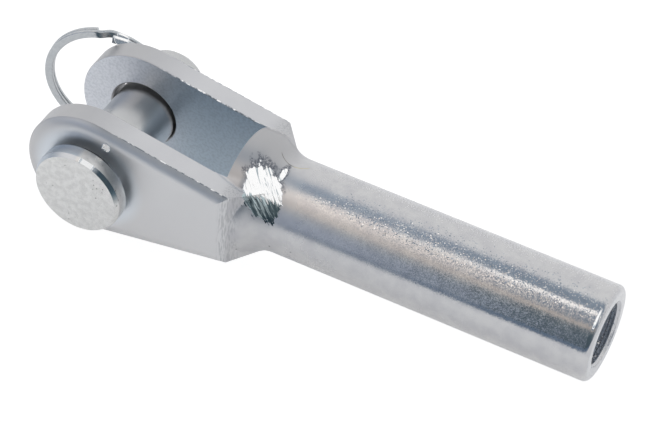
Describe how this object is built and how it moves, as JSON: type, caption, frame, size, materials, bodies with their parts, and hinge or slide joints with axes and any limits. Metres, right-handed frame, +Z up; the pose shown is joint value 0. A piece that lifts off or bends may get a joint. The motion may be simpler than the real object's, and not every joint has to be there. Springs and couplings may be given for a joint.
{
  "type": "tension rod clevis",
  "caption": "Steel clevis with a long internally threaded barrel, a headed pin through its two eyes and a split ring in the pin's tail.",
  "frame": {"origin": "on the common axis of the two eyes, midway between the ears", "axes": "+X along the barrel towards its open threaded end, +Y along the eyes' axis towards the pin's tail and the split ring, +Z up"},
  "size_m": [0.1993, 0.0623, 0.0446],
  "materials": {
    "body": "satin zinc plate",
    "pin": "satin zinc plate",
    "ring": "bright spring steel"
  },
  "bodies": {
    "clevis": {"clevis_body": "body"},
    "pin": {"clevis_pin": "pin"},
    "ring": {"split_ring": "ring"}
  },
  "joints": [
    {"name": "pin_spin", "type": "hinge", "parent": "clevis", "child": "pin", "pos_m": [0.00012, 0, -0.00069], "axis": [0, 1, 0], "range_deg": [-50, 50]},
    {"name": "ring_swing", "type": "hinge", "parent": "pin", "child": "ring", "pos_m": [0.00012, 0.0246, -0.00069], "axis": [0.0872, 0, -0.9962], "range_deg": [0, 192]}
  ]
}
